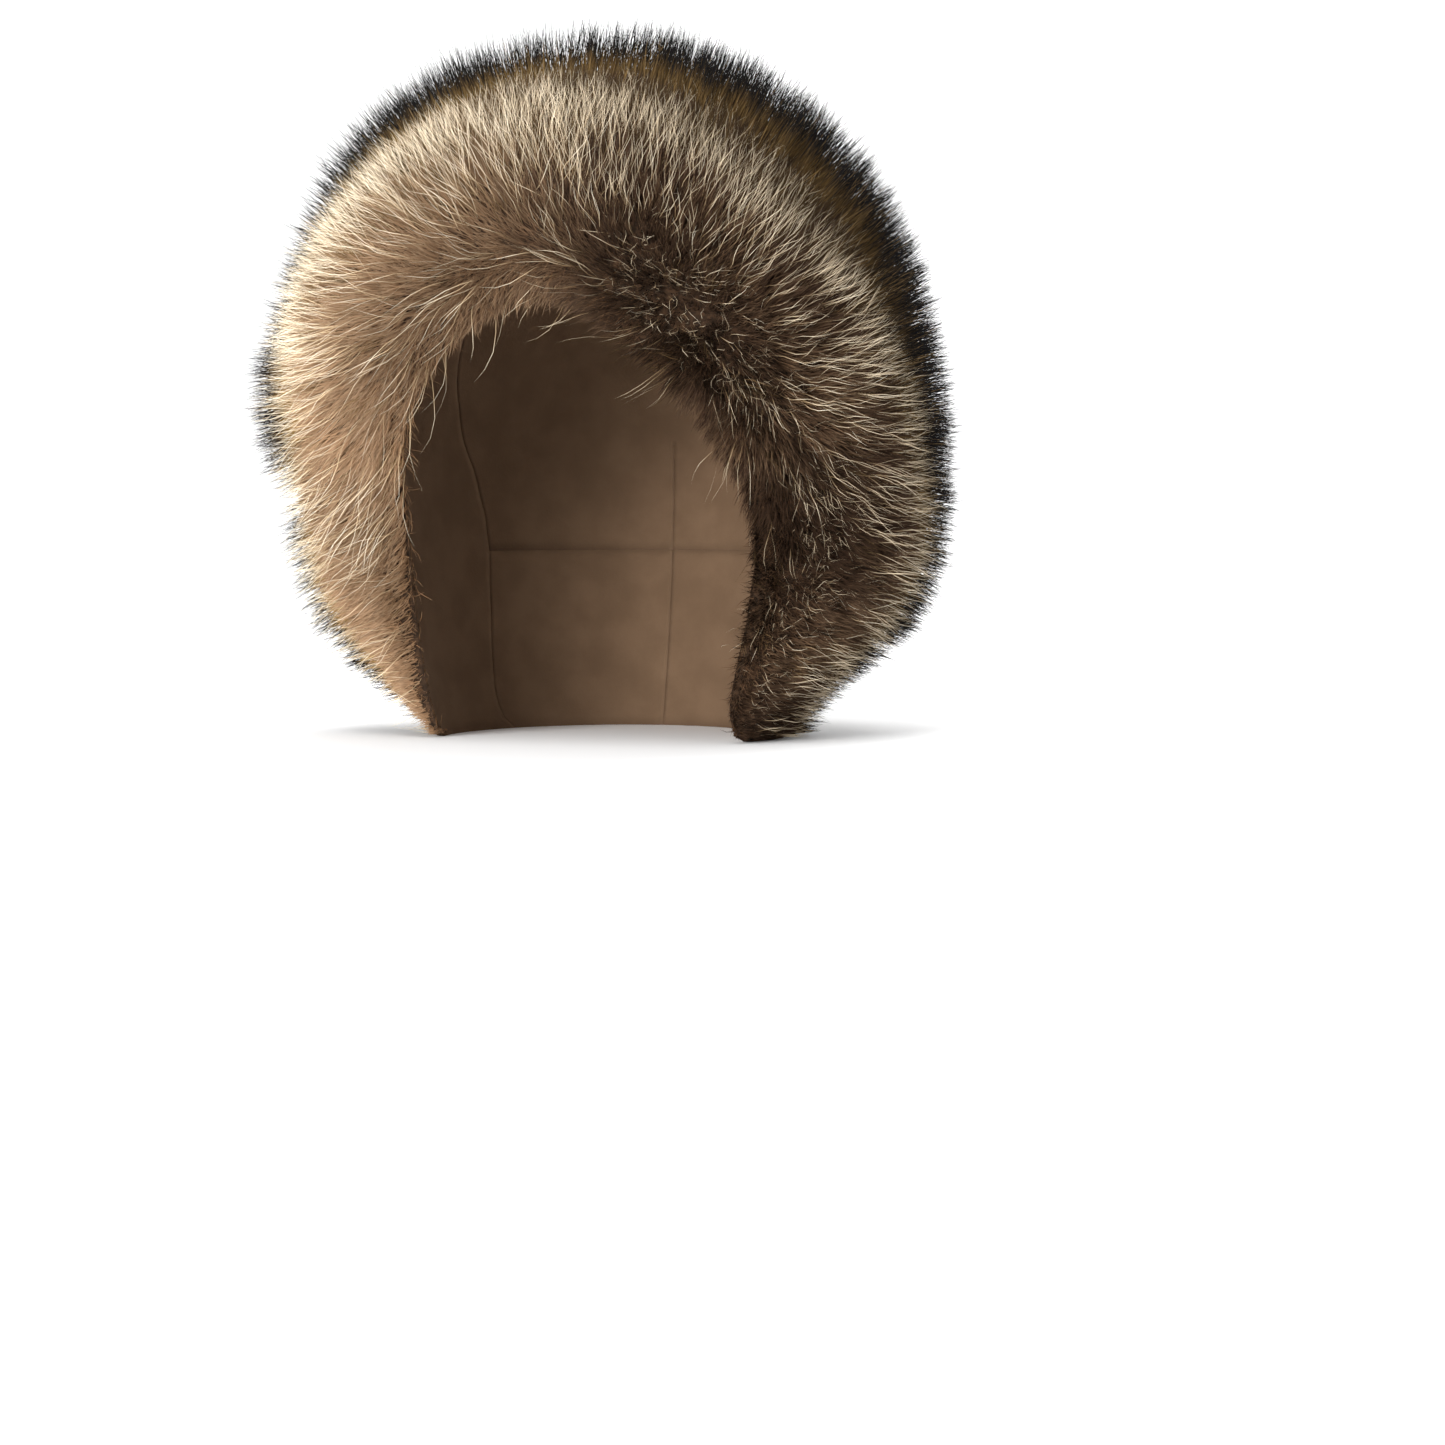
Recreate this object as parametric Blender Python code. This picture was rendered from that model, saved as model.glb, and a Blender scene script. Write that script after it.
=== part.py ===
"""Full fur hat: a hollow round dome of deep fur with an arched opening for the face.

It stands on its lower edge, face opening towards -Y, top up. Sizes are metres.
The hat is three closed solids with a hair's gap between them: the band that frames
the face, the crown, and the panel at the nape. Each has a smooth skin side towards
the hollow and a fur side of tapered locks that lean away from the face.
"""

import math

import bpy
import numpy as np

# Hollow for the head
HOLLOW_HALF_WIDTH = 0.077
HOLLOW_HALF_DEPTH = 0.098
HOLLOW_HEIGHT = 0.214
WIDEST_HEIGHT = 0.118
LOWER_EDGE_DRAW_IN = 0.17
HOLLOW_AXIS_Y = -0.030

# Face opening
OPENING_HEIGHT = 0.177
OPENING_HALF_WIDTH = 0.0725
FOOT_ROUNDING = 0.018

# Fur
UNDERFUR_DEPTH = 0.042
ROLL_WIDTH = 0.036
LOWER_EDGE_HEIGHT = 0.080
LOWER_EDGE_SHARE = 0.20
LOCK_LENGTH = 0.034
FULL_LOCK_WIDTH = 0.012
NARROW_LOCK_SHARE = 0.45
FOOT_LOCK_SHARE = 0.50
LOCK_VARIATION = 0.09
MID_RING_SIZE = 0.60
MID_RING_HEIGHT = 0.52
SEAM_GAP = 0.0003

# Nap: the hair lies away from a point in front of the face, and falls at the back
NAP_FRONT_SHARE = 1.25
NAP_HEIGHT_SHARE = 0.55
NAP_FALL = 0.55

# Outline of the face opening, foot to top
OPENING_OUTLINE = (
    # share of height, share of half width
    (0.00, 0.83),
    (0.09, 0.865),
    (0.27, 0.95),
    (0.41, 0.995),
    (0.50, 1.00),
    (0.60, 0.97),
    (0.735, 0.845),
    (0.85, 0.625),
    (0.93, 0.41),
    (0.98, 0.225),
    (0.995, 0.12),
    (1.00, 0.00),
)

# How the locks grow with distance from the face opening
LOCK_GROWTH = (
    # share of roll width, share of lock length, lean of its lower and upper part in degrees
    (0.0, 0.62, 50.0, 72.0),
    (0.5, 0.80, 46.0, 68.0),
    (1.0, 0.92, 42.0, 64.0),
    (2.5, 1.00, 34.0, 56.0),
    (5.0, 1.00, 32.0, 54.0),
)

# Grid over the hat: lines round the dome and lines from the face to the back
SIDE_CELLS = 8
TOP_CELLS = 26
ROLL_SHARES = (0.0, 0.005, 0.020, 0.055)
BACK_CELLS = 15
BAND_CELLS = 6
NAPE_CELLS = 5


def clear_scene():
    for thing in list(bpy.data.objects):
        bpy.data.objects.remove(thing, do_unlink=True)


def opening_half_width(height):
    """Half width of the face opening at each height."""
    table = np.array(OPENING_OUTLINE)
    width = np.interp(height / OPENING_HEIGHT, table[:, 0], table[:, 1])
    return OPENING_HALF_WIDTH * np.where(height > OPENING_HEIGHT, 0.0, width)


def skin_point(turn, drop, angle):
    """Point on the skin side.

    turn goes over the top from one side to the other, drop is the distance below
    the widest level, and angle goes round from the front to the back.
    """
    draw_in = 1.0 - LOWER_EDGE_DRAW_IN * (drop / WIDEST_HEIGHT) ** 2
    rise = HOLLOW_HEIGHT - WIDEST_HEIGHT
    x = HOLLOW_HALF_WIDTH * draw_in * np.sin(angle) * np.cos(turn)
    y = HOLLOW_AXIS_Y - HOLLOW_HALF_DEPTH * draw_in * np.cos(angle)
    z = WIDEST_HEIGHT - drop + rise * np.sin(angle) * np.sin(turn)
    return np.stack([x, y, z], axis=-1)


def outward(points):
    """Direction away from the hollow at points on the skin side, level below the widest level."""
    rise = HOLLOW_HEIGHT - WIDEST_HEIGHT
    direction = np.stack(
        [
            points[..., 0] / HOLLOW_HALF_WIDTH**2,
            (points[..., 1] - HOLLOW_AXIS_Y) / HOLLOW_HALF_DEPTH**2,
            np.maximum(points[..., 2] - WIDEST_HEIGHT, 0.0) / rise**2,
        ],
        axis=-1,
    )
    return direction / np.linalg.norm(direction, axis=-1, keepdims=True)


def grid_columns():
    """The turn and the drop of each line that runs from the face to the back."""
    drops = WIDEST_HEIGHT * np.linspace(1.0, 0.0, SIDE_CELLS + 1)
    turns = np.linspace(0.0, math.pi, TOP_CELLS + 1)
    turn = np.concatenate([np.zeros(SIDE_CELLS), turns, np.full(SIDE_CELLS, math.pi)])
    drop = np.concatenate([drops[:-1], np.zeros(TOP_CELLS + 1), drops[:-1][::-1]])
    return turn, drop


def opening_angle(turn, drop):
    """Angle at which each line starts on the edge of the face opening, found by halving."""
    low = np.zeros_like(turn)
    high = np.full_like(turn, math.pi / 2)
    for _ in range(50):
        middle = (low + high) / 2
        point = skin_point(turn, drop, middle)
        outside = np.abs(point[:, 0]) > opening_half_width(point[:, 2])
        outside |= point[:, 2] > OPENING_HEIGHT
        high = np.where(outside, middle, high)
        low = np.where(outside, low, middle)
    height = WIDEST_HEIGHT - drop
    reach = np.clip(1.0 - height / FOOT_ROUNDING, 0.0, 1.0)
    set_back = FOOT_ROUNDING * (1.0 - np.sqrt(1.0 - reach**2))
    return high + set_back / HOLLOW_HALF_DEPTH


def row_shares():
    """Share of the way from the face to the back of each line round the dome."""
    start = ROLL_SHARES[-1]
    rest = np.linspace(start, 1.0, BACK_CELLS + 1)[1:]
    return np.concatenate([ROLL_SHARES, rest])


def quarter_round(share):
    """Height of a quarter circle of radius 1 at this share of its width."""
    return np.sqrt(1.0 - (1.0 - np.clip(share, 0.0, 1.0)) ** 2)


def smooth_step(share):
    """0 to 1 with a level start and a level end."""
    share = np.clip(share, 0.0, 1.0)
    return share * share * (3.0 - 2.0 * share)


def distance_to(points, line):
    """Distance from each point to the nearest of the points of a line."""
    gaps = points[..., None, :] - line
    return np.sqrt((gaps**2).sum(axis=-1).min(axis=-1))


def fine_opening_edge():
    """Points close together along the edge of the face opening."""
    turn, drop = grid_columns()
    place = np.linspace(0, len(turn) - 1, 12 * len(turn))
    turn = np.interp(place, np.arange(len(turn)), turn)
    drop = np.interp(place, np.arange(len(drop)), drop)
    return skin_point(turn, drop, opening_angle(turn, drop))


def fur_depth(points, edge):
    """Depth of the dense underfur over points on the skin side."""
    roll = quarter_round(distance_to(points, edge) / ROLL_WIDTH)
    lower = smooth_step(points[..., 2] / LOWER_EDGE_HEIGHT)
    return UNDERFUR_DEPTH * roll * (LOWER_EDGE_SHARE + (1.0 - LOWER_EDGE_SHARE) * lower)


def nap(points, normals):
    """Direction along the surface in which the fur lies."""
    front = HOLLOW_AXIS_Y - NAP_FRONT_SHARE * HOLLOW_HALF_DEPTH
    face = np.array([0.0, front, NAP_HEIGHT_SHARE * OPENING_HEIGHT])
    away = points - face
    away /= np.linalg.norm(away, axis=-1, keepdims=True)
    behind = np.clip((points[..., 1] - HOLLOW_AXIS_Y) / HOLLOW_HALF_DEPTH, 0.0, 1.0)
    away[..., 2] -= NAP_FALL * behind
    along = away - (away * normals).sum(axis=-1, keepdims=True) * normals
    along /= np.linalg.norm(along, axis=-1, keepdims=True)
    lift = np.clip(points[..., 2] / LOWER_EDGE_HEIGHT, 0.0, 1.0)
    along[..., 2] = np.where(along[..., 2] < 0.0, along[..., 2] * lift, along[..., 2])
    return along


def variation(column, row):
    """Length share that varies from lock to lock, alike on both sides."""
    middle = (2 * SIDE_CELLS + TOP_CELLS - 1) / 2
    from_middle = abs(column - middle)
    wave = math.sin(2.3 * from_middle + 1.7 * row) + math.sin(1.1 * from_middle - 2.9 * row)
    return 1.0 + LOCK_VARIATION * wave


class Shell:
    """Collects the faces of one piece as polygons of points."""

    def __init__(self):
        self.polygons = []

    def add(self, *points):
        self.polygons.append([tuple(float(v) for v in point) for point in points])

    def quad(self, a, b, c, d):
        """Two triangles that meet along the shorter way across."""
        if np.linalg.norm(c - a) > np.linalg.norm(d - b):
            self.add(a, b, d)
            self.add(b, c, d)
        else:
            self.add(a, b, c)
            self.add(a, c, d)

    def lock(self, corners, lower_part, upper_part):
        """A tapered lock on one cell: a smaller ring part of the way up, then the tip."""
        centre = np.mean(corners, axis=0)
        middle = centre + lower_part
        tip = middle + upper_part
        ring = [middle + MID_RING_SIZE * (corner - centre) for corner in corners]
        for i, corner in enumerate(corners):
            after = (i + 1) % len(corners)
            self.quad(corner, corners[after], ring[after], ring[i])
            self.add(ring[i], ring[after], tip)

    def mesh(self, name):
        """The welded mesh, without the faces that shrink to a line."""
        index = {}
        faces = []
        for polygon in self.polygons:
            face = []
            for point in polygon:
                key = tuple(round(v * 1e6) for v in point)
                number = index.setdefault(key, (len(index), point))[0]
                if number not in face:
                    face.append(number)
            if len(face) > 2:
                faces.append(face)
        points = [entry[1] for entry in index.values()]
        mesh = bpy.data.meshes.new(name)
        mesh.from_pydata(points, [], faces)
        mesh.validate()
        mesh.update()
        return mesh


def border_shift(place, borders):
    """Which way a grid line moves to leave its half of a seam gap, or 0 off a border."""
    return {borders[0]: 1.0, borders[1]: -1.0}.get(place, 0.0)


def piece_points(columns, rows, trim):
    """Skin points of a piece's part of the grid, with half a seam gap taken off each trimmed border."""
    turn, drop = grid_columns()
    start = opening_angle(turn, drop)
    shares = row_shares()
    half = SEAM_GAP / 2
    points = np.zeros((columns[1] - columns[0] + 1, rows[1] - rows[0] + 1, 3))
    for i, column in enumerate(range(columns[0], columns[1] + 1)):
        side = 1.0 if column < len(turn) / 2 else -1.0
        down = drop[column] - side * half * border_shift(column, trim["columns"])
        for j, row in enumerate(range(rows[0], rows[1] + 1)):
            angle = start[column] + (math.pi - start[column]) * shares[row]
            angle += half / HOLLOW_HALF_DEPTH * border_shift(row, trim["rows"])
            points[i, j] = skin_point(turn[column], down, angle)
    return points


def fur_normal(corners):
    """Which way a cell of the fur side faces, turned level where it would face the floor."""
    first = corners[2] - corners[0]
    second = corners[-1] - corners[1]
    if len(corners) == 3:
        first = corners[1] - corners[0]
        second = corners[2] - corners[0]
    normal = np.cross(first, second)
    normal /= np.linalg.norm(normal)
    if normal[2] < 0.0:
        height = np.mean(corners, axis=0)[2]
        normal[2] *= min(1.0, height / LOWER_EDGE_HEIGHT) ** 2
    return normal / np.linalg.norm(normal)


def cell_corners(fur, around):
    """Corners of a cell of the fur side, each once: two of them meet where the grid closes."""
    corners = []
    for at in around:
        if not any(np.allclose(fur[at], known, atol=1e-7) for known in corners):
            corners.append(fur[at])
    return corners


def cell_width(fur, i, j):
    return np.linalg.norm(fur[i + 1, j] + fur[i + 1, j + 1] - fur[i, j] - fur[i, j + 1]) / 2


def add_lock(shell, corners, width, distance, share):
    """A lock on a cell, shorter on a narrow cell, by the face and by the lower edge."""
    centre = np.mean(corners, axis=0)
    normal = fur_normal(corners)
    along = nap(centre, normal)
    table = np.array(LOCK_GROWTH)
    place = distance / ROLL_WIDTH
    growth, low, high = (np.interp(place, table[:, 0], table[:, i]) for i in (1, 2, 3))
    low = math.radians(low)
    high = math.radians(high)
    growth *= min(1.0, NARROW_LOCK_SHARE + (1.0 - NARROW_LOCK_SHARE) * width / FULL_LOCK_WIDTH)
    lift = smooth_step(centre[2] / LOWER_EDGE_HEIGHT)
    growth *= FOOT_LOCK_SHARE + (1.0 - FOOT_LOCK_SHARE) * lift
    length = LOCK_LENGTH * growth * share
    lower_part = length * MID_RING_HEIGHT * (math.cos(low) * normal + math.sin(low) * along)
    upper_part = length * (1.0 - MID_RING_HEIGHT) * (math.cos(high) * normal + math.sin(high) * along)
    shell.lock(corners, lower_part, upper_part)


def add_cells(shell, columns, rows, trim, edge):
    """Skin side and fur side of the cells in a range of columns and rows."""
    skin = piece_points(columns, rows, trim)
    fur = skin + outward(skin) * fur_depth(skin, edge)[..., None]
    if rows[0] == 0:
        fur[:, 0] = skin[:, 0]
    for i in range(columns[1] - columns[0]):
        for j in range(rows[1] - rows[0]):
            around = ((i, j), (i, j + 1), (i + 1, j + 1), (i + 1, j))
            shell.quad(*[skin[at] for at in reversed(around)])
            corners = cell_corners(fur, around)
            if len(corners) < 3:
                continue
            if rows[0] + j == 0:
                shell.quad(*[fur[at] for at in around])
                continue
            root = np.mean([skin[at] for at in around], axis=0)
            share = variation(columns[0] + i, rows[0] + j)
            add_lock(shell, corners, cell_width(fur, i, j), distance_to(root, edge), share)
    return skin, fur


def add_wall(shell, skin, fur):
    """A flat wall between the skin side and the fur side along one border."""
    for i in range(len(skin) - 1):
        shell.quad(skin[i + 1], skin[i], fur[i], fur[i + 1])


def make_piece(name, patches):
    """One piece from patches of the grid. Each patch names its walls."""
    edge = fine_opening_edge()
    shell = Shell()
    for columns, rows, trim, walls in patches:
        skin, fur = add_cells(shell, columns, rows, trim, edge)
        if "first column" in walls:
            add_wall(shell, skin[0][::-1], fur[0][::-1])
        if "last column" in walls:
            add_wall(shell, skin[-1], fur[-1])
        if "first row" in walls:
            add_wall(shell, skin[:, 0], fur[:, 0])
        if "last row" in walls:
            add_wall(shell, skin[::-1, -1], fur[::-1, -1])
    return bpy.data.objects.new(name, shell.mesh(name))


def finish_piece(piece, colour):
    bpy.context.scene.collection.objects.link(piece)
    material = bpy.data.materials.new(piece.name + "_fur")
    material.use_nodes = True
    shader = material.node_tree.nodes["Principled BSDF"]
    shader.inputs["Base Color"].default_value = (*colour, 1.0)
    shader.inputs["Roughness"].default_value = 0.85
    piece.data.materials.append(material)


def main():
    clear_scene()
    last_column = 2 * SIDE_CELLS + TOP_CELLS
    last_row = len(row_shares()) - 1
    band_row = BAND_CELLS + len(ROLL_SHARES) - 1
    whole = (0, last_column)
    left_nape = (0, NAPE_CELLS)
    right_nape = (last_column - NAPE_CELLS, last_column)
    upper = (NAPE_CELLS, last_column - NAPE_CELLS)
    behind = (band_row, last_row)
    no_trim = (None, None)

    band = make_piece(
        "face_band",
        [
            (
                whole,
                (0, band_row),
                {"columns": no_trim, "rows": (None, band_row)},
                ("first column", "last column", "last row"),
            )
        ],
    )
    crown = make_piece(
        "crown",
        [
            (
                upper,
                behind,
                {"columns": upper, "rows": (band_row, None)},
                ("first column", "last column", "first row"),
            )
        ],
    )
    nape = make_piece(
        "nape_panel",
        [
            (
                left_nape,
                behind,
                {"columns": (None, NAPE_CELLS), "rows": (band_row, None)},
                ("first column", "last column", "first row"),
            ),
            (
                right_nape,
                behind,
                {"columns": (right_nape[0], None), "rows": (band_row, None)},
                ("first column", "last column", "first row"),
            ),
        ],
    )
    finish_piece(band, (0.30, 0.18, 0.09))
    finish_piece(crown, (0.20, 0.15, 0.07))
    finish_piece(nape, (0.12, 0.08, 0.05))


main()
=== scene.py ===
import math

import bpy
import numpy as np
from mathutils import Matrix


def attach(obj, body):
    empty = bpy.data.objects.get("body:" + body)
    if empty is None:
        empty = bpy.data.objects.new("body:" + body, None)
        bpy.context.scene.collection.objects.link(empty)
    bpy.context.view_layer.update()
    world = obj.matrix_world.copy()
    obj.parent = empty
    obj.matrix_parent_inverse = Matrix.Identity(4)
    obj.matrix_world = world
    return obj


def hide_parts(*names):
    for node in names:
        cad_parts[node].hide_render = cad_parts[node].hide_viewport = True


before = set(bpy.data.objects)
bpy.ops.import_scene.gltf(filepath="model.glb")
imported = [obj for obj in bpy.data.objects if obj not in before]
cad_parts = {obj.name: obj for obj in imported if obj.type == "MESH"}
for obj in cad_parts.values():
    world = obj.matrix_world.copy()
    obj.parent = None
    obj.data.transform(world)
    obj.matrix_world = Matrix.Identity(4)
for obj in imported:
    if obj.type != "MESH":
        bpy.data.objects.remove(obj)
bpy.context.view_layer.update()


# Face band pelt
# The front pelt, sewn to the crown along its back edge. Brushed suede inside, dense
# brown wool outside, rolled over at the edge of the face opening.

HOLLOW = (0.077, 0.098, 0.214)  # half width, half depth and top of the skin side
WIDEST_HEIGHT = 0.118
AXIS_Y = -0.030
FOOT_DRAWN_IN = 0.17
OPENING_HEIGHT = 0.177
OPENING_HALF_WIDTH = 0.0725
FOOT_SET_BACK = 0.018
FUR_DEPTH = 0.043
EDGE_ROLL = 0.036
LOW_PART = 0.080
LAST_COLUMN = 42.0
SIDE_COLUMNS = 8.0
BAND_SHARE = 0.433
NAPE_COLUMNS = 5.0


class Value:
    """A shader socket, with the few things that the materials here do to it."""

    def __init__(self, tree, socket):
        self.tree = tree
        self.socket = socket

    def node(self, kind, settings=(), **inputs):
        """A new node: settings are its properties, inputs its sockets by name or _number."""
        node = self.tree.nodes.new(kind)
        for key, value in dict(settings).items():
            setattr(node, key, value)
        for key, value in inputs.items():
            place = int(key[1:]) if key[0] == "_" else key.replace("_", " ")
            if isinstance(value, Value):
                self.tree.links.new(value.socket, node.inputs[place])
            else:
                node.inputs[place].default_value = value
        return node

    def between(self, low, high):
        """0 below low, 1 above high, smooth in between."""
        node = self.node("ShaderNodeMapRange", {"interpolation_type": "SMOOTHSTEP"},
                         Value=self, _1=low, _2=high)
        return Value(self.tree, node.outputs[0])

    def mix(self, first, second):
        """Colour that goes from first to second as this value goes from 0 to 1."""
        node = self.node("ShaderNodeMix", {"data_type": "RGBA"}, _0=self, _6=first, _7=second)
        return Value(self.tree, node.outputs[2])

    def noise(self, scale, detail):
        """Noise from 0 to 1 over the piece's own coordinates, with scale waves a metre."""
        place = Value(self.tree, self.node("ShaderNodeTexCoord").outputs["Object"])
        node = self.node("ShaderNodeTexNoise", Vector=place, Scale=scale, Detail=detail)
        return Value(self.tree, node.outputs[0])


def colour(red, green, blue):
    """A colour, 0 to 255 on screen, as the linear values that the shader takes."""
    values = np.array([red, green, blue]) / 255.0
    linear = np.where(values <= 0.04045, values / 12.92, ((values + 0.055) / 1.055) ** 2.4)
    return (*linear.tolist(), 1.0)


def new_material(name, roughness, **constants):
    """A material, its shader, and a Value to build on. constants go on the shader."""
    material = bpy.data.materials.new(name)
    material.use_nodes = True
    tree = material.node_tree
    shader = tree.nodes["Principled BSDF"]
    shader.inputs["Roughness"].default_value = roughness
    for key, value in constants.items():
        shader.inputs[key.replace("_", " ")].default_value = value
    return material, shader, Value(tree, None)


def opening_half_width(height):
    """Half width of the face opening: straight lines between twelve measured heights.

    share is the height as a share of the opening's, width the share of its greatest.
    """
    share = (0.00, 0.09, 0.27, 0.41, 0.50, 0.60, 0.735, 0.85, 0.93, 0.98, 0.995, 1.0)
    width = (0.83, 0.865, 0.95, 0.995, 1.0, 0.97, 0.845, 0.625, 0.41, 0.225, 0.12, 0.0)
    return OPENING_HALF_WIDTH * np.interp(height / OPENING_HEIGHT, share, width, right=0.0)


def skin_point(turn, drop, angle):
    """Point on the skin side: half an ellipsoid over a tube drawn in at its foot.

    turn goes over the top from side to side, drop is the distance below the widest
    level, angle goes round from the front to the back.
    """
    tube = 1.0 - FOOT_DRAWN_IN * (drop / WIDEST_HEIGHT) ** 2
    x = HOLLOW[0] * tube * np.sin(angle) * np.cos(turn)
    y = AXIS_Y - HOLLOW[1] * tube * np.cos(angle)
    z = WIDEST_HEIGHT - drop + (HOLLOW[2] - WIDEST_HEIGHT) * np.sin(angle) * np.sin(turn)
    return np.stack([x, y, z], axis=-1)


def turn_and_drop(column):
    """The first columns climb one side, the next go over the top, the last go down again."""
    last_side = LAST_COLUMN - SIDE_COLUMNS
    over = (column - SIDE_COLUMNS) / (last_side - SIDE_COLUMNS)
    turn = math.pi * np.clip(over, 0.0, 1.0)
    below = np.maximum(1.0 - column / SIDE_COLUMNS, (column - last_side) / SIDE_COLUMNS)
    drop = WIDEST_HEIGHT * np.maximum(below, 0.0)
    return turn, drop


def opening_angle(column):
    """Angle of the opening's edge on each column, by halving, then set back round the foot.

    The set back is FOOT_SET_BACK less a quarter circle of that radius.
    """
    turn, drop = turn_and_drop(column)
    low = np.zeros_like(column)
    high = np.full_like(column, math.pi / 2)
    for _ in range(40):
        middle = (low + high) / 2
        point = skin_point(turn, drop, middle)
        outside = np.abs(point[..., 0]) > opening_half_width(point[..., 2])
        outside |= point[..., 2] > OPENING_HEIGHT
        high = np.where(outside, middle, high)
        low = np.where(outside, low, middle)
    reach = np.clip(1.0 - (WIDEST_HEIGHT - drop) / FOOT_SET_BACK, 0.0, 1.0)
    return high + FOOT_SET_BACK * (1.0 - np.sqrt(1.0 - reach**2)) / HOLLOW[1]


def quarter_round(share):
    """sqrt(1 - (1 - share)^2): how high a quarter circle is at this share of its width."""
    return np.sqrt(1.0 - (1.0 - np.clip(share, 0.0, 1.0)) ** 2)


def smooth_step(share):
    """3 s^2 - 2 s^3: 0 to 1 with a level start and a level end."""
    share = np.clip(share, 0.0, 1.0)
    return share * share * (3.0 - 2.0 * share)


def unit(vectors):
    """Each vector over its own length."""
    return vectors / np.maximum(np.linalg.norm(vectors, axis=-1, keepdims=True), 1e-12)


def nap_direction(points, normals):
    """Which way the hair lies: away from a start before the opening, along the surface.

    The start moves down and to the wearer's left as x grows from 0 to 60 mm. The hair
    turns down at the back and level near the floor.
    """
    aside = smooth_step(points[..., 0] / 0.060)
    before = np.full_like(aside, AXIS_Y - 1.25 * HOLLOW[1])
    start = np.stack([0.012 + 0.035 * aside, before, 0.160 - 0.065 * aside], -1)
    away = unit(points - start)
    behind = np.clip((points[..., 1] - AXIS_Y) / HOLLOW[1], 0.0, 1.0)
    away[..., 2] -= 0.55 * behind
    along = unit(away - (away * normals).sum(axis=-1, keepdims=True) * normals)
    lift = np.clip(points[..., 2] / LOW_PART, 0.0, 1.0)
    along[..., 2] = np.where(along[..., 2] < 0.0, along[..., 2] * lift, along[..., 2])
    return along


def hat_grid(columns, rows):
    """Skin side, wool side, the way out and the distance from the face edge on a grid.

    The wool stands FUR_DEPTH out from the skin side, less a quarter circle over the
    roll at the face edge, and less near the floor.
    """
    column, row = np.meshgrid(columns, rows, indexing="ij")
    turn, drop = turn_and_drop(column)
    start = opening_angle(column)
    skin = skin_point(turn, drop, start + (math.pi - start) * row)
    rise = HOLLOW[2] - WIDEST_HEIGHT
    over = np.maximum(skin[..., 2] - WIDEST_HEIGHT, 0.0) / rise**2
    level = [skin[..., 0] / HOLLOW[0] ** 2, (skin[..., 1] - AXIS_Y) / HOLLOW[1] ** 2]
    outward = unit(np.stack([*level, over], axis=-1))
    fine = np.linspace(0.0, LAST_COLUMN, 600)
    edge = skin_point(*turn_and_drop(fine), opening_angle(fine))
    flat = skin.reshape(-1, 3)
    parts = np.array_split(flat, 1 + len(flat) // 4000)
    nearest = [((part[:, None] - edge) ** 2).sum(-1).min(-1) for part in parts]
    distance = np.sqrt(np.concatenate(nearest)).reshape(row.shape)
    distance[row == 0.0] = 0.0
    depth = FUR_DEPTH * quarter_round(distance / EDGE_ROLL)
    depth *= 0.20 + 0.80 * smooth_step(skin[..., 2] / LOW_PART)
    wool = skin + outward * depth[..., None]
    return {"skin": skin, "wool": wool, "outward": outward, "distance": distance}


def pelt(name, node, columns, rows, material_name, shades):
    """A closed shell over part of the hat: suede side, wool side and the cut edges between.

    columns and rows are its ends on the grid, three columns of faces to each column.
    """
    columns = np.linspace(*columns, int(3 * (columns[1] - columns[0])) + 1)
    first, last = rows
    share = np.linspace(0.0, 1.0, 49)
    rows = first + (last - first) * (share**1.8 if first == 0.0 else share)
    grid = hat_grid(columns, rows)
    across, along = grid["skin"].shape[:2]
    points = np.concatenate([grid["skin"].reshape(-1, 3), grid["wool"].reshape(-1, 3)])
    number = np.arange(across * along).reshape(across, along)
    quads = np.stack([number[:-1, :-1], number[:-1, 1:], number[1:, 1:], number[1:, :-1]], -1)
    quads = quads.reshape(-1, 4)
    sides = [number[:-1, 0], number[-1, :-1], number[:0:-1, -1], number[0, :0:-1]]
    round_edge = np.concatenate(sides)
    after = np.roll(round_edge, -1)
    outer = across * along
    walls = np.stack([round_edge, after, after + outer, round_edge + outer], -1)
    faces = np.concatenate([quads[:, ::-1], quads + outer, walls])
    mesh = bpy.data.meshes.new(name)
    mesh.from_pydata(points, [], faces.tolist())
    kinds = np.zeros(len(faces), dtype=np.int32)
    kinds[len(quads):2 * len(quads)] = 1
    mesh.polygons.foreach_set("material_index", kinds)
    mesh.polygons.foreach_set("use_smooth", np.ones(len(faces), dtype=bool))
    mesh.update()
    piece = bpy.data.objects.new(name, mesh)
    bpy.context.scene.collection.objects.link(piece)
    piece.data.materials.append(shade_painted_suede_material(name + "_painted_shade_suede"))
    piece.data.materials.append(wool_material(material_name, *shades))
    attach(piece, "root")
    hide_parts(node)


def shade_painted_suede_material(name):
    """Suede painted a darker brown as the shade inside the hollow: matt, with a faint mottle
    and a fine nap in relief.
    """
    material, shader, value = new_material(name, 0.95, Specular_IOR_Level=0.2)
    # both browns are darker than bare suede: painted shade for the inside of the hat
    base = value.noise(60.0, 4.0).between(0.3, 0.7).mix(colour(92, 72, 54), colour(101, 80, 61))
    grain = value.noise(900.0, 2.0)
    bump = value.node("ShaderNodeBump", Height=grain, Strength=0.25, Distance=0.0004)
    value.tree.links.new(base.socket, shader.inputs["Base Color"])
    value.tree.links.new(bump.outputs[0], shader.inputs["Normal"])
    return material


def wool_material(name, deep, light):
    """The wool that shows between the hairs: two browns in fine streaks."""
    material, shader, value = new_material(name, 0.9, Specular_IOR_Level=0.1)
    base = value.noise(420.0, 3.0).between(0.35, 0.7).mix(deep, light)
    value.tree.links.new(base.socket, shader.inputs["Base Color"])
    return material


pelt(
    "face_band_pelt", "face_band", (0.0, LAST_COLUMN), (0.0, BAND_SHARE),
    "face_band_wool", (colour(38, 28, 20), colour(66, 48, 34)),
)


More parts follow.
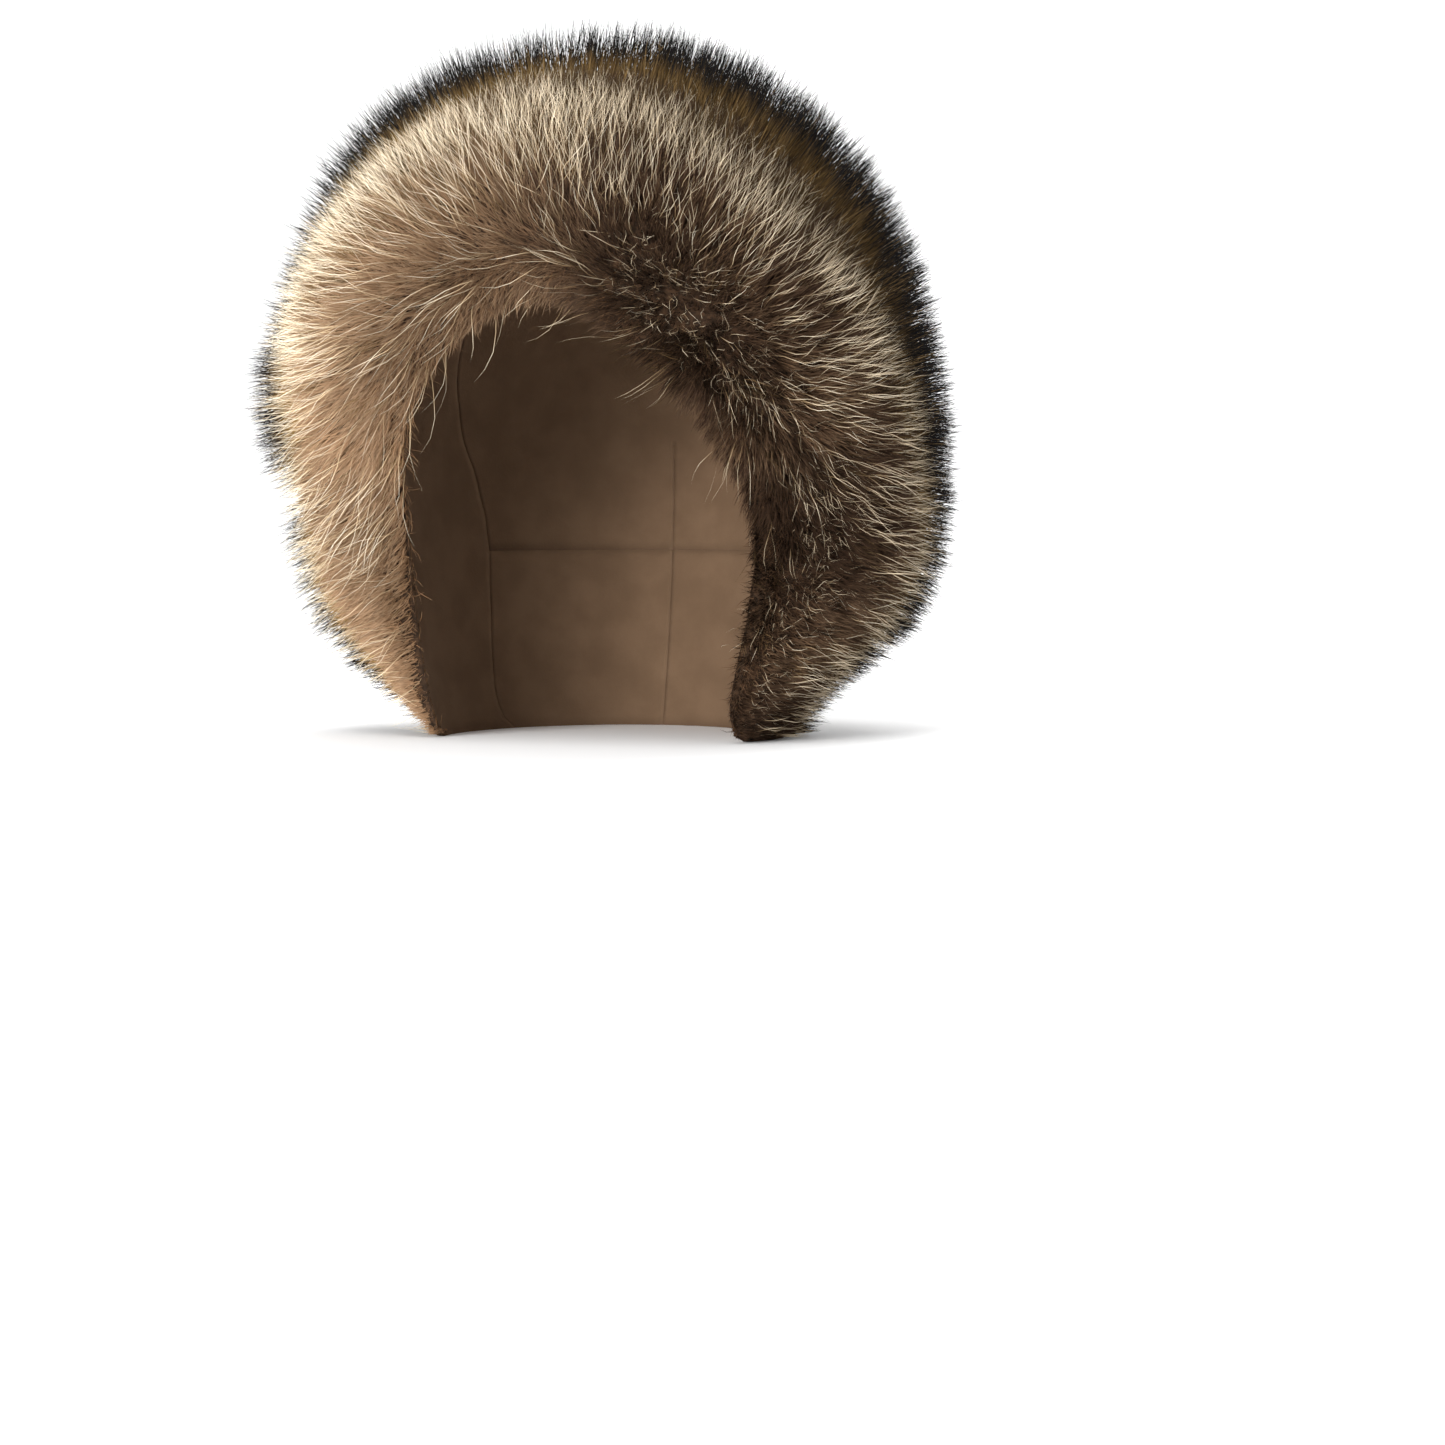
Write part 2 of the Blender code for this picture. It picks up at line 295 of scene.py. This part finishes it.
# Crown pelt
# The pelt over the top and the upper back, sewn to the band in front and the nape
# panel below. The same suede inside and darker wool outside.

pelt(
    "crown_pelt", "crown", (NAPE_COLUMNS, LAST_COLUMN - NAPE_COLUMNS), (BAND_SHARE, 1.0),
    "crown_wool", (colour(44, 32, 22), colour(84, 64, 42)),
)


# Nape panel pelt
# The low panel round the sides and the nape, sewn under the crown. Suede inside and
# dark wool outside, made here in two halves, one on each side behind the front pelt.

pelt(
    "nape_panel_pelt_left", "nape_panel", (0.0, NAPE_COLUMNS), (BAND_SHARE, 1.0),
    "nape_wool_left", (colour(40, 28, 20), colour(72, 52, 36)),
)
pelt(
    "nape_panel_pelt_right", "nape_panel", (LAST_COLUMN - NAPE_COLUMNS, LAST_COLUMN),
    (BAND_SHARE, 1.0), "nape_wool_right", (colour(40, 28, 20), colour(72, 52, 36)),
)


# Underfur
# The short dense wool of the pelts: fine crimped hairs, warm brown, lighter at the
# tips. It grows out of all three pelts and lies away from the face.

GRID_COLUMNS = np.linspace(0.0, LAST_COLUMN, 253)
GRID_ROWS = np.concatenate([np.linspace(0.0, 0.10, 41)[:-1], np.linspace(0.10, 1.0, 110)])
FIELD = hat_grid(GRID_COLUMNS, GRID_ROWS)
across = np.gradient(FIELD["wool"], axis=0)
along = np.gradient(FIELD["wool"], axis=1)
FIELD["area"] = np.linalg.norm(np.cross(across, along), axis=-1)
facing = np.cross(along, across)
FIELD["facing"] = np.where(FIELD["area"][..., None] > 1e-10, unit(facing), FIELD["outward"])
low = np.clip(FIELD["wool"][..., 2] / LOW_PART, 0.0, 1.0) ** 2
FIELD["facing"][..., 2] *= np.where(FIELD["facing"][..., 2] < 0.0, low, 1.0)
FIELD["facing"] = unit(FIELD["facing"])
FIELD["nap"] = nap_direction(FIELD["wool"], FIELD["facing"])
x, y, z = np.moveaxis(FIELD["wool"] * 1000.0, -1, 0)
FIELD["patches"] = np.sin(x / 17 + y / 29) + np.sin(y / 13 - z / 21 + 1.0)
FIELD["patches"] += np.sin(z / 15 + x / 31 + 2.0)


def read_field(name, spots):
    """Values of one field at spots (column, row), blended from the four corners round each.

    Columns and rows are counted in grid steps.
    """
    values = FIELD[name]
    columns = np.clip(spots[:, 0], 0, values.shape[0] - 1.001)
    rows = np.clip(spots[:, 1], 0, values.shape[1] - 1.001)
    i, j = columns.astype(int), rows.astype(int)
    a, b = columns - i, rows - j
    if values.ndim == 3:
        a, b = a[:, None], b[:, None]
    low = values[i, j] * (1 - a) + values[i + 1, j] * a
    high = values[i, j + 1] * (1 - a) + values[i + 1, j + 1] * a
    return low * (1 - b) + high * b


def scatter(random, count, weight):
    """Spots spread over the wool in proportion to its area times a weight on the grid."""
    chance = (FIELD["area"] * weight)[:-1, :-1].ravel()
    cells = random.choice(len(chance), size=count, p=chance / chance.sum())
    across, along = FIELD["area"].shape
    spots = np.stack(np.unravel_index(cells, (across - 1, along - 1)), -1)
    return spots + random.random((count, 2))


def hair_paths(random, spots, length, lean, steps, stray, wave):
    """Middle lines of hairs: each step leans from upright towards the nap, with a slow wave.

    lean is two angles in degrees, at the root and at the tip. stray is the spread of the
    nap in degrees, and the lean has 0.45 of it. Roots lie 3 mm under the wool.
    """
    normal = read_field("facing", spots)
    nap = unit(read_field("nap", spots))
    side = unit(np.cross(nap, normal))
    swing = np.radians(random.normal(0.0, stray, len(spots)))[:, None]
    nap = np.cos(swing) * nap + np.sin(swing) * side
    tilt = np.radians(random.normal(0.0, stray * 0.45, len(spots)))
    phase = random.random(len(spots)) * 2 * math.pi
    points = [read_field("wool", spots) - 0.003 * normal]
    for k in range(steps):
        share = (k + 0.5) / steps
        angle = np.radians(lean[0] + (lean[1] - lean[0]) * share) + tilt
        angle = np.clip(angle, 0.0, 1.5)[:, None]
        sway = (wave * np.sin(phase + 5.0 * share))[:, None]
        step = np.cos(angle) * normal + np.sin(angle) * nap + sway * side
        points.append(points[-1] + unit(step) * (length / steps)[:, None])
    return np.stack(points, 1), normal


def hair_piece(name, paths, normal, width, roll, shade, material, random):
    """Flat tapered ribbons along the paths, two points a step and one at the tip.

    The width falls as (1 - share of the length) to the power 0.6. The map has the share
    of the length along it and the shade of the hair across it, inside a small margin.
    """
    count, places = paths.shape[:2]
    paths[..., 2] = np.maximum(paths[..., 2], 0.0006 + 0.002 * random.random((count, 1)))
    direction = unit(np.gradient(paths, axis=1))
    flat = unit(np.cross(direction, normal[:, None]))
    raised = np.cross(flat, direction)
    roll = np.radians(random.normal(0.0, roll, count))[:, None, None]
    across = np.cos(roll) * flat + np.sin(roll) * raised
    share = np.linspace(0.0, 1.0, places)
    taper = (1.0 - share) ** 0.6
    half = across * (width[:, None] * taper)[..., None] / 2
    pairs = np.stack([paths - half, paths + half], 2)[:, :-1].reshape(count, -1, 3)
    points = np.concatenate([pairs, paths[:, -1:]], 1).reshape(-1, 3)
    each = 2 * (places - 1) + 1
    quads = np.array([[2 * k, 2 * k + 1, 2 * k + 3, 2 * k + 2] for k in range(places - 2)])
    tip = np.array([each - 3, each - 2, each - 1])
    start = np.arange(count)[:, None, None] * each
    loops = np.concatenate([(quads + start).reshape(count, -1), (tip + start[:, 0])], 1)
    sizes = np.tile(np.array([4] * (places - 2) + [3]), count)
    mesh = bpy.data.meshes.new(name)
    mesh.vertices.add(len(points))
    mesh.vertices.foreach_set("co", points.astype(np.float32).ravel())
    mesh.loops.add(loops.size)
    mesh.loops.foreach_set("vertex_index", loops.astype(np.int32).ravel())
    mesh.polygons.add(len(sizes))
    mesh.polygons.foreach_set("loop_start", (np.cumsum(sizes) - sizes).astype(np.int32))
    mesh.update(calc_edges=True)
    mesh.polygons.foreach_set("use_smooth", np.ones(len(sizes), dtype=bool))
    band = 0.02 + 0.96 * np.clip(shade, 0.0, 1.0)
    along = np.repeat(share, 2)[:-1]
    over = np.tile(np.array([-0.008, 0.008]), places)[:-1]
    over[-1] = 0.0
    uv = np.broadcast_arrays(0.01 + 0.98 * along[None], band[:, None] + over[None])
    uv = np.stack(uv, -1).reshape(-1, 2)[loops.ravel()]
    mesh.uv_layers.new(name="OFBake").data.foreach_set("uv", uv.astype(np.float32).ravel())
    mesh.materials.append(material)
    piece = bpy.data.objects.new(name, mesh)
    bpy.context.scene.collection.objects.link(piece)
    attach(piece, "root")


def hair_material(name, root, middle, tip, middle_from, tip_from):
    """Hair coloured by its map: root, middle and tip along it, each from deep to light."""
    material, shader, value = new_material(name, 0.7, Specular_IOR_Level=0.1)
    place = value.node("ShaderNodeUVMap", {"uv_map": "OFBake"})
    parts = value.node("ShaderNodeSeparateXYZ", Vector=Value(value.tree, place.outputs[0]))
    along = Value(value.tree, parts.outputs[0])
    shade = Value(value.tree, parts.outputs[1])
    base = along.between(0.0, middle_from).mix(shade.mix(*root), shade.mix(*middle))
    base = along.between(tip_from, tip_from + 0.25).mix(base, shade.mix(*tip))
    value.tree.links.new(base.socket, shader.inputs["Base Color"])
    return material


def grow(
    name, seed, count, weight, length, lean, steps, width, clump, stray, wave, roll,
    shade, tone, material,
):
    """Hairs in clumps: each clump has a leader, and its hairs bend towards it near the tip.

    clump is hairs in a clump, spread in metres and how far the tips come together.
    tone is the spread of shade from clump to clump and from hair to hair. size is a grid
    step in metres, taken as even over a tube of 110 mm radius and a side 240 mm long.
    """
    random = np.random.default_rng(seed)
    leaders = max(1, count // clump[0])
    seats = scatter(random, leaders, weight)
    leader_length = length(seats) * np.clip(random.normal(1.0, 0.10, leaders), 0.7, 1.2)
    lead, _ = hair_paths(random, seats, leader_length, lean(seats), steps, stray * 0.6, wave)
    owner = np.arange(count) % leaders
    size = np.array([0.75 * 2 * math.pi * 0.11 / len(GRID_COLUMNS), 0.24 / len(GRID_ROWS)])
    spots = seats[owner] + random.normal(0.0, 1.0, (count, 2)) * clump[1] / size * 0.6
    spots[:, 0] = np.clip(spots[:, 0], 0, FIELD["area"].shape[0] - 1.01)
    spots[:, 1] = np.clip(spots[:, 1], 0, FIELD["area"].shape[1] - 1.01)
    own_length = length(spots) * np.clip(random.normal(1.0, 0.14, count), 0.6, 1.25)
    paths, normal = hair_paths(random, spots, own_length, lean(spots), steps, stray, wave)
    pull = clump[2] * random.random(count)[:, None] * np.linspace(0.0, 1.0, steps + 1) ** 1.5
    paths = paths + pull[..., None] * (lead[owner] - paths)
    thick = width * random.uniform(0.7, 1.3, count)
    light = shade(seats) + tone[0] * random.normal(0.0, 1.0, leaders)
    light = np.clip(light[owner] + tone[1] * random.normal(0.0, 1.0, count), 0.0, 1.0)
    hair_piece(name, paths, normal, thick, roll, light, material, random)


def near_face(spots, reach):
    """1 at the edge of the face opening, falling to 0 at reach metres from it."""
    return smooth_step(1.0 - read_field("distance", spots) / reach)


def low_down(spots):
    """Share by which hair is shorter near the lower edge, where it meets the floor."""
    return 0.55 + 0.45 * np.clip(read_field("wool", spots)[:, 2] / 0.05, 0.0, 1.0)


def tone_and_painted_light(spots):
    """Shade in slow patches with painted light and shade, lightest low on the wearer's right,
    darker far from the face.
    """
    place = read_field("wool", spots)
    side = smooth_step((place[:, 0] + 0.100) / 0.150)
    high = smooth_step((place[:, 2] - 0.155) / 0.070)
    far = smooth_step((read_field("distance", spots) - 0.022) / 0.026)
    waves = 0.06 * read_field("patches", spots)
    # the fall from light on the wearer's right to dark on the left is partly the pelt's own
    # colour, partly painted light on the right and painted shade on the left
    shade = 0.82 + waves - 0.74 * side - 0.38 * high * (1.0 - side)
    # the darkening within 20 mm of the face edge is painted shade
    return shade - 0.26 * far - 0.10 * near_face(spots, 0.02)


def upright(spots):
    """1 on the roll of the wearer's left, where the hair stands out from the pelt."""
    aside = smooth_step((read_field("wool", spots)[:, 0] - 0.015) / 0.035)
    return aside * smooth_step(1.0 - (read_field("distance", spots) - 0.020) / 0.022)


# BLACK_FROM is the distance from the face edge at which the fur turns dark
BLACK_FROM = 0.026 + 0.032 * smooth_step((FIELD["skin"][..., 2] - 0.12) / 0.08)
BLACK_FROM -= 0.014 * smooth_step(-FIELD["wool"][..., 0] / 0.06)
BEHIND = smooth_step((FIELD["distance"] - BLACK_FROM + 0.002 * FIELD["patches"]) / 0.022)
EDGE = smooth_step(1.0 - FIELD["distance"] / 0.006)


def wool_length(spots):
    """15.5 mm, a fifth less at the face edge."""
    return 0.0155 * low_down(spots) * (1.0 - 0.2 * near_face(spots, 0.02))


def wool_lean(spots):
    """Flatter towards the face edge, but upright on the wearer's left."""
    flat, up = near_face(spots, 0.05), 1.0 - 0.75 * upright(spots)
    return (26.0 + 10.0 * flat) * up, (56.0 + 12.0 * flat) * up


def edge_length(spots):
    return 0.011 * low_down(spots)


def edge_lean(spots):
    return np.full(len(spots), 20.0), np.full(len(spots), 62.0)


grow(
    "underfur_front", seed=11, count=62000, weight=1.0 - BEHIND, length=wool_length,
    lean=wool_lean, steps=2, width=0.00058, clump=(10, 0.0024, 0.3), stray=15.0, wave=0.2,
    roll=10.0, shade=tone_and_painted_light, tone=(0.05, 0.07),
    material=hair_material(
        "underfur_front_hair",
        root=(colour(42, 29, 20), colour(132, 101, 75)),
        middle=(colour(46, 32, 23), colour(162, 127, 95)),
        tip=(colour(52, 37, 26), colour(180, 148, 116)),
        middle_from=0.5, tip_from=0.6,
    ),
)
grow(
    "underfur_face_edge", seed=13, count=9000, weight=EDGE, length=edge_length,
    lean=edge_lean, steps=2, width=0.00026, clump=(5, 0.0024, 0.3), stray=75.0, wave=0.35,
    roll=30.0, shade=tone_and_painted_light, tone=(0.12, 0.12),
    material=hair_material(
        "underfur_edge_hair",
        root=(colour(44, 30, 20), colour(86, 60, 40)),
        middle=(colour(62, 43, 29), colour(140, 104, 72)),
        tip=(colour(86, 64, 46), colour(176, 142, 108)),
        middle_from=0.6, tip_from=0.6,
    ),
)
grow(
    "underfur_back", seed=12, count=56000, weight=0.001 + BEHIND, length=wool_length,
    lean=wool_lean, steps=2, width=0.00058, clump=(10, 0.0026, 0.5), stray=15.0, wave=0.2,
    roll=15.0, shade=tone_and_painted_light, tone=(0.10, 0.10),
    material=hair_material(
        "underfur_back_hair",
        root=(colour(30, 21, 15), colour(58, 40, 26)),
        middle=(colour(48, 34, 22), colour(104, 76, 48)),
        tip=(colour(54, 39, 25), colour(116, 88, 56)),
        middle_from=0.6, tip_from=0.6,
    ),
)


# Cream guard hairs
# Long coarse cream hairs that stand thin and loose through the wool of the front, and
# some shorter ones that lie across each other on the roll of the wearer's left.

ONE_SIDE = smooth_step((FIELD["wool"][..., 0] - 0.01) / 0.05)
LOOSE = 0.10 + 0.90 * smooth_step((FIELD["distance"] - 0.004) / 0.022)
LOOSE *= 1.0 - 0.70 * ONE_SIDE * smooth_step(1.0 - (FIELD["distance"] - 0.024) / 0.012)
LOOSE *= 1.0 - 0.70 * smooth_step((FIELD["distance"] - 0.030) / 0.015)
CROSSED = smooth_step((FIELD["distance"] - 0.001) / 0.003)
CROSSED *= smooth_step(1.0 - (FIELD["distance"] - 0.006) / 0.020)
CROSSED *= smooth_step((FIELD["wool"][..., 0] - 0.02) / 0.03)


def cream_length(spots):
    """18 mm, longer near the face and longest at its edge on the wearer's right."""
    right = smooth_step(-read_field("wool", spots)[:, 0] / 0.050)
    longer = 0.012 * near_face(spots, 0.07) + 0.006 * right * near_face(spots, 0.022)
    return (0.018 + longer) * low_down(spots)


def cream_lean(spots):
    """Flatter towards the face edge, but more upright on the wearer's left."""
    flat, up = near_face(spots, 0.06), 1.0 - 0.6 * upright(spots)
    return (26.0 + 10.0 * flat) * up, (60.0 + 12.0 * flat) * up


def crossed_length(spots):
    return 0.017 * low_down(spots)


cream = hair_material(
    "cream_guard_hair",
    root=(colour(62, 44, 30), colour(104, 76, 50)),
    middle=(colour(124, 102, 74), colour(214, 188, 150)),
    tip=(colour(196, 178, 150), colour(246, 234, 210)),
    middle_from=0.4, tip_from=0.4,
)
grow(
    "cream_guard_hairs", seed=21, count=7600, weight=LOOSE * (1.0 - BEHIND) + 0.001,
    length=cream_length, lean=cream_lean, steps=5, width=0.00023, clump=(3, 0.0040, 0.4),
    stray=22.0, wave=0.30, roll=35.0, shade=tone_and_painted_light, tone=(0.2, 0.2),
    material=cream,
)
grow(
    "crossed_cream_hairs", seed=24, count=800, weight=CROSSED, length=crossed_length,
    lean=cream_lean, steps=5, width=0.00023, clump=(3, 0.0050, 0.2), stray=75.0, wave=0.6,
    roll=35.0, shade=tone_and_painted_light, tone=(0.2, 0.2), material=cream,
)


# Gold guard hairs
# Olive gold hairs that stand thick along the ridge of the roll, over the top and down
# both sides, between the brown front and the dark outline.

RIDGE = smooth_step((FIELD["distance"] - 0.012 - 0.012 * ONE_SIDE) / 0.020) * (1.0 - BEHIND)


def gold_length(spots):
    return 0.0185 * low_down(spots)


def gold_lean(spots):
    return np.full(len(spots), 26.0), np.full(len(spots), 58.0)


grow(
    "gold_guard_hairs", seed=22, count=22000, weight=0.02 + RIDGE, length=gold_length,
    lean=gold_lean, steps=4, width=0.00027, clump=(9, 0.0040, 0.75), stray=20.0, wave=0.30,
    roll=35.0, shade=tone_and_painted_light, tone=(0.30, 0.16),
    material=hair_material(
        "gold_guard_hair",
        root=(colour(24, 17, 12), colour(66, 46, 30)),
        middle=(colour(48, 36, 18), colour(124, 98, 66)),
        tip=(colour(58, 45, 24), colour(136, 111, 79)),
        middle_from=0.5, tip_from=0.65,
    ),
)


# Black-tipped guard hairs
# The longest and stiffest hairs. Next to the front they are black over most of their
# length and make the dark outline. Further back only their tips are black.

NEAR_FRONT = smooth_step(1.0 - (FIELD["distance"] - BLACK_FROM) / 0.070)
OUTLINE = BEHIND * NEAR_FRONT * (1.0 + 0.7 * smooth_step(-FIELD["wool"][..., 0] / 0.060))


def black_length(spots):
    """28.5 mm, and 7.5 mm more on top."""
    high = smooth_step((read_field("wool", spots)[:, 2] - 0.15) / 0.08)
    return (0.0285 + 0.0075 * high) * low_down(spots)


def black_lean(spots):
    return np.full(len(spots), 16.0), np.full(len(spots), 42.0)


grow(
    "black_tipped_guard_hairs", seed=23, count=28000, weight=0.03 * BEHIND + OUTLINE,
    length=black_length, lean=black_lean, steps=4, width=0.00034, clump=(7, 0.0042, 0.5),
    stray=12.0, wave=0.15, roll=35.0, shade=tone_and_painted_light, tone=(0.2, 0.14),
    material=hair_material(
        "black_tipped_guard_hair",
        root=(colour(34, 24, 16), colour(60, 42, 27)),
        middle=(colour(84, 64, 34), colour(150, 120, 74)),
        tip=(colour(10, 8, 7), colour(22, 17, 15)),
        middle_from=0.3, tip_from=0.38,
    ),
)
grow(
    "black_tipped_back_hairs", seed=25, count=17000,
    weight=BEHIND * (1.0 - 0.8 * NEAR_FRONT) + 0.001,
    length=black_length, lean=black_lean, steps=3, width=0.00036, clump=(7, 0.0042, 0.5),
    stray=12.0, wave=0.15, roll=35.0, shade=tone_and_painted_light, tone=(0.25, 0.16),
    material=hair_material(
        "black_tipped_back_hair",
        root=(colour(36, 26, 17), colour(66, 47, 30)),
        middle=(colour(104, 82, 50), colour(176, 146, 100)),
        tip=(colour(10, 8, 7), colour(24, 18, 15)),
        middle_from=0.35, tip_from=0.6,
    ),
)


# Floor, light and camera
# A pale sheet of paper that turns up into a wall in a quarter circle. A large soft light
# in front, two weak ones at the side and above, one behind, and one each for the wall
# and for the floor in front.

SHEET_REACH = 12.0
BEND_START = 1.6
BEND = 1.2
bend = np.linspace(0.0, math.pi / 2, 25)
curve = [(BEND_START + BEND * math.sin(a), BEND - BEND * math.cos(a)) for a in bend]
profile = [(-SHEET_REACH, 0.0), *curve, (BEND_START + BEND, 5.0)]
points = [(x, y, z) for x in (-SHEET_REACH, SHEET_REACH) for y, z in profile]
strips = [(i, i + 1, i + 1 + len(profile), i + len(profile)) for i in range(len(profile) - 1)]
mesh = bpy.data.meshes.new("floor")
mesh.from_pydata(points, [], [strip[::-1] for strip in strips])
mesh.polygons.foreach_set("use_smooth", [True] * len(strips))
floor = bpy.data.objects.new("floor", mesh)
bpy.context.scene.collection.objects.link(floor)
material, shader, value = new_material("floor_paper", 0.9)
shader.inputs["Base Color"].default_value = (0.93, 0.93, 0.93, 1.0)
mesh.materials.append(material)


def area_light(name, place, aim, size, power):
    """A square soft light at a place, turned to face a point."""
    lamp = bpy.data.lights.new(name, "AREA")
    lamp.size = size
    lamp.energy = power
    light = bpy.data.objects.new(name, lamp)
    light.location = place
    back = unit(np.array(place) - np.array(aim))
    light.rotation_euler = (math.acos(back[2]), 0.0, math.atan2(back[0], -back[1]))
    bpy.context.scene.collection.objects.link(light)


area_light("key", (-0.7, -2.15, 0.4), (0.0, 0.0, 0.11), 1.0, 84.0)
area_light("fill", (1.9, -1.5, 0.8), (0.0, 0.0, 0.13), 1.2, 3.0)
area_light("top", (-0.4, -0.3, 2.0), (0.0, 0.0, 0.13), 1.2, 3.0)
area_light("back", (0.7, 2.0, 1.2), (0.0, 0.0, 0.13), 1.2, 26.0)
area_light("wall", (0.0, 1.0, 2.8), (0.0, 2.8, 0.9), 2.0, 60.0)
area_light("front_floor", (0.0, -1.4, 2.6), (0.0, -0.9, 0.0), 1.6, 40.0)

world = bpy.data.worlds.new("studio")
world.use_nodes = True
world.node_tree.nodes["Background"].inputs[0].default_value = (1.0, 1.0, 1.0, 1.0)
world.node_tree.nodes["Background"].inputs[1].default_value = 0.4
bpy.context.scene.world = world
bpy.context.scene.view_settings.view_transform = "Standard"

lens = bpy.data.cameras.new("camera")
lens.lens = 100.0
lens.sensor_width = 36.0
camera = bpy.data.objects.new("camera", lens)
BEARING = math.radians(18.0)
CAMERA_AWAY = 1.645
CAMERA_HEIGHT = 0.105
AIM_ASIDE = 0.040
AIM_HEIGHT = 0.004
over_floor = CAMERA_AWAY * np.array([math.sin(BEARING), -math.cos(BEARING)])
place = np.array([*over_floor, CAMERA_HEIGHT])
aside = np.array([math.cos(BEARING), math.sin(BEARING), 0.0])
aim = AIM_ASIDE * aside + np.array([0.0, 0.0, AIM_HEIGHT])
back = unit(place - aim)
camera.location = place
camera.rotation_euler = (math.acos(back[2]), 0.0, math.atan2(back[0], -back[1]))
bpy.context.scene.collection.objects.link(camera)
bpy.context.scene.camera = camera
